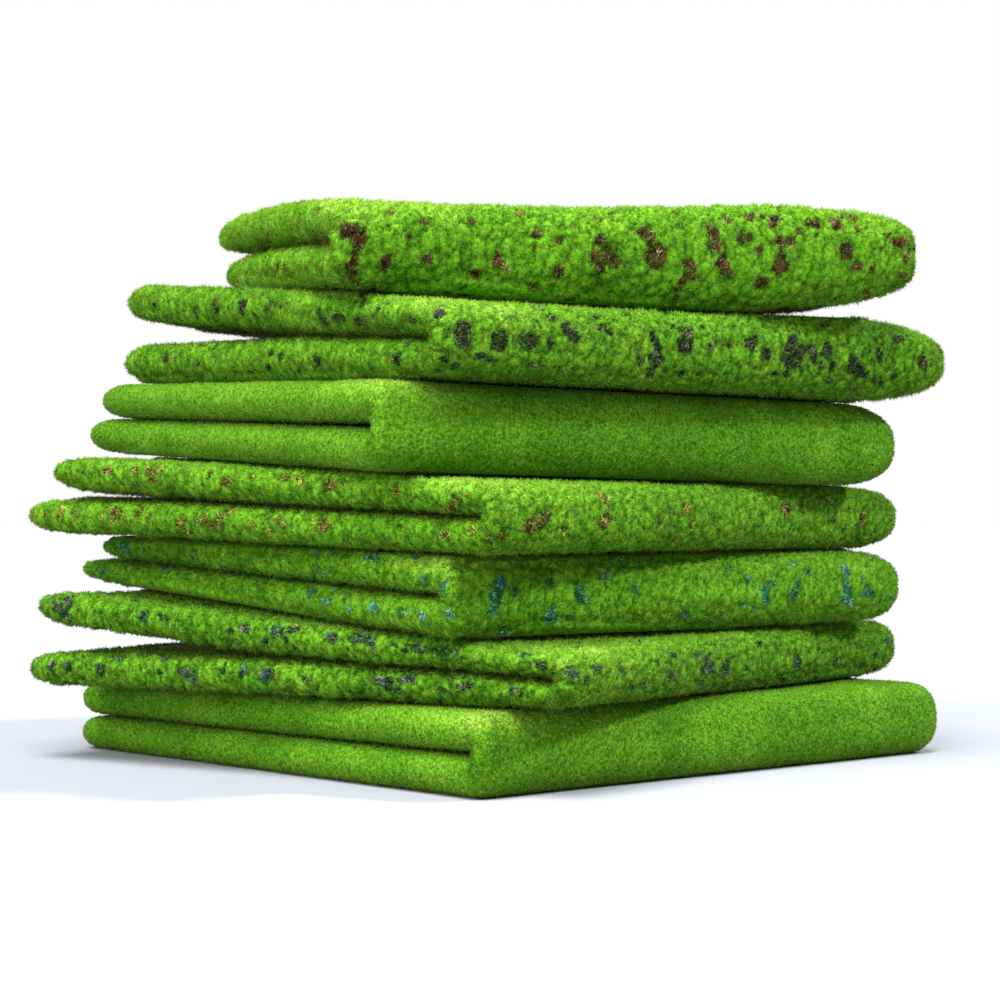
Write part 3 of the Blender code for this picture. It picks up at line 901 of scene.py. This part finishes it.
# Needled polyester cloth, dyed dark green: matt, with a fine tangle of threads about 1 mm apart
def clothMaterial():
    material, tree = newMaterial("Needled polyester backing")
    place = addNode(tree, "ShaderNodeTexCoord")
    threads = addNode(tree, "ShaderNodeTexNoise", {
        "Vector": place.outputs["Object"], "Scale": 900.0, "Detail": 3.0, "Roughness": 0.6})
    colour = addNode(tree, "ShaderNodeValToRGB", {"Fac": threads.outputs["Fac"]})
    fillRamp(colour, [(0.3, "#1c3212"), (0.7, "#3a5a26")])
    bump = addNode(tree, "ShaderNodeBump", {
        "Height": threads.outputs["Fac"], "Strength": 0.5, "Distance": 0.0004})
    surface = addNode(tree, "ShaderNodeBsdfPrincipled", {
        "Base Color": colour.outputs["Color"], "Roughness": 0.9, "IOR": 1.5, "Specular IOR Level": 0.2,
        "Normal": bump.outputs["Normal"],
    })
    addNode(tree, "ShaderNodeOutputMaterial", {"Surface": surface.outputs["BSDF"]})
    return material


greens = [(0.0, "#548c14"), (0.35, "#6aa41c"), (0.65, "#84b82c"), (1.0, "#b4d25c")]
# A multiplier for painted shade, from near black to white: it darkens the moss deep in the pile, in clefts
# and pits, and carries a little random tone
paintedShadeRamp = [(0.0, "#12180a"), (0.3, "#52643a"), (0.65, "#bccca4"), (1.0, "#ffffff")]
fleckTones = {
    "red_fleck_moss": [(0.0, "#8c3426"), (0.16, "#cc6a54"), (0.28, "#33201a"), (0.46, "#8c7450"),
                       (0.60, "#e4bca4"), (0.68, "#1e1612"), (0.82, "#5e4030"), (0.92, "#84983c")],
    "violet_fleck_moss": [(0.0, "#20241e"), (0.24, "#606858"), (0.40, "#121410"), (0.56, "#4e4858"),
                          (0.68, "#8a9478"), (0.80, "#30342e"), (0.92, "#b4bca0")],
    "yellow_fleck_moss": [(0.0, "#e4d050"), (0.26, "#2e2418"), (0.42, "#f2e68a"), (0.58, "#8a7c30"),
                          (0.72, "#4a3826"), (0.84, "#ecdc70"), (0.92, "#2a2620")],
    "teal_fleck_moss": [(0.0, "#40b8a4"), (0.24, "#1c5c4c"), (0.36, "#90e0d4"), (0.52, "#2c8c7c"),
                        (0.64, "#58b8b8"), (0.76, "#c4f2e6"), (0.88, "#12382e")],
    "mixed_fleck_moss": [(0.0, "#4a6e62"), (0.18, "#1c2624"), (0.36, "#7878a0"), (0.48, "#34a090"),
                         (0.58, "#cca8b0"), (0.66, "#98bc98"), (0.76, "#141a16"), (0.93, "#d8c468")],
}
# What shows between the tufts of a coloured patch
fleckGrounds = {
    "plain_moss": "#548c14", "red_fleck_moss": "#4a4622", "violet_fleck_moss": "#343e26",
    "yellow_fleck_moss": "#50541f", "teal_fleck_moss": "#2c6c3c", "mixed_fleck_moss": "#2c4a30",
}

clothFinish = clothMaterial()
mossFinish = {slot: fibreMaterial(f"Polyethylene moss, {slot}", greens, paintedShadeRamp) for slot in looks}
bodyFinish = {
    slot: bodyMaterial(
        f"Dense polyethylene moss, {slot}", [(0.0, fleckGrounds[slot]), (0.15, fleckGrounds[slot])] + [
            (0.22 + 0.78 * place, code) for place, code in greens], paintedShadeRamp, look["tuft"])
    for slot, look in looks.items()
}
fleckFinish = {
    slot: fibreMaterial(f"Curled fleck fibre, {slot}", tones, paintedShadeRamp, constant=True)
    for slot, tones in fleckTones.items()
}

for index, mat in enumerate(mats):
    name, slot = mat["name"], mat["slot"]
    lattice = makeLattice(index)
    pile = makePile(index, lattice, bodyFinish[slot])
    pieces = [pile, makeBlades(index, lattice, f"{name}_fibres", False, mossFinish[slot])]
    if slot in fleckTones:
        pieces.append(makeBlades(index, lattice, f"{name}_flecks", True, fleckFinish[slot]))
    cloth, flat = makeCloth(index, clothFinish)
    for piece in pieces:
        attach(piece, "root")
    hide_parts(f"{name}_moss")
    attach(cloth, "root")
    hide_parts(f"{name}_backing")
    print(f"{name}: made, flat {flat[0]:.3f} x {flat[1]:.3f} m,",
          ", ".join(f"{piece.name} {len(piece.data.polygons)} faces" for piece in pieces))

# Floor and studio
studio = dict(floor=40.0, background=1.0, sky=0.7)


def makeFloor():
    half = studio["floor"] / 2
    points = np.array([[-half, -half, 0], [half, -half, 0], [half, half, 0], [-half, half, 0]])
    material, tree = newMaterial("White paper floor")
    surface = addNode(tree, "ShaderNodeBsdfPrincipled", {
        "Base Color": linearColour("#8e9096"), "Roughness": 0.9, "Specular IOR Level": 0.1})
    addNode(tree, "ShaderNodeOutputMaterial", {"Surface": surface.outputs["BSDF"]})
    floor = makeMesh("floor", points, [np.array([0, 1, 2, 3])], material)[0]


# A white surround that is as bright as paper to look at and lights the stack more dimly
def makeSky():
    world = bpy.data.worlds.new("White studio")
    world.use_nodes = True
    tree = world.node_tree
    tree.nodes.clear()
    ray = addNode(tree, "ShaderNodeLightPath")
    seen = addNode(tree, "ShaderNodeBackground", {"Color": (1, 1, 1, 1), "Strength": studio["background"]})
    light = addNode(tree, "ShaderNodeBackground", {"Color": (1, 1, 1, 1), "Strength": studio["sky"]})
    both = addNode(tree, "ShaderNodeMixShader", {
        0: ray.outputs["Is Camera Ray"], 1: light.outputs["Background"], 2: seen.outputs["Background"]})
    addNode(tree, "ShaderNodeOutputWorld", {"Surface": both.outputs["Shader"]})
    bpy.context.scene.world = world


# A lamp so far off that its light is the same everywhere. Its place is given by the side that it
# comes from and its height, in degrees, and its width makes soft or hard shadows
def makeSun(name, side, height, width, power):
    lamp = bpy.data.lights.new(name, "SUN")
    lamp.angle = math.radians(width)
    lamp.energy = power
    obj = bpy.data.objects.new(name, lamp)
    obj.rotation_euler = (math.radians(90 - height), 0, math.radians(side))
    bpy.context.scene.collection.objects.link(obj)


def makeCamera():
    camera = bpy.data.cameras.new("photoView")
    camera.lens = photo["lens"]
    camera.sensor_width = photo["sensor"]
    obj = bpy.data.objects.new("photoView", camera)
    obj.location = (shift[0], shift[1] - photo["distance"], photo["height"])
    obj.rotation_euler = (math.pi / 2, 0, 0)
    bpy.context.scene.collection.objects.link(obj)
    bpy.context.scene.camera = obj


makeFloor()
makeSky()
makeSun("key", side=88, height=40, width=5, power=3.9)
makeSun("top", side=-20, height=70, width=36, power=6.5)
makeSun("fill", side=-40, height=22, width=60, power=4.2)
makeCamera()
bpy.context.scene.view_settings.view_transform = "Standard"
print("studio: floor, sky, lights and camera")
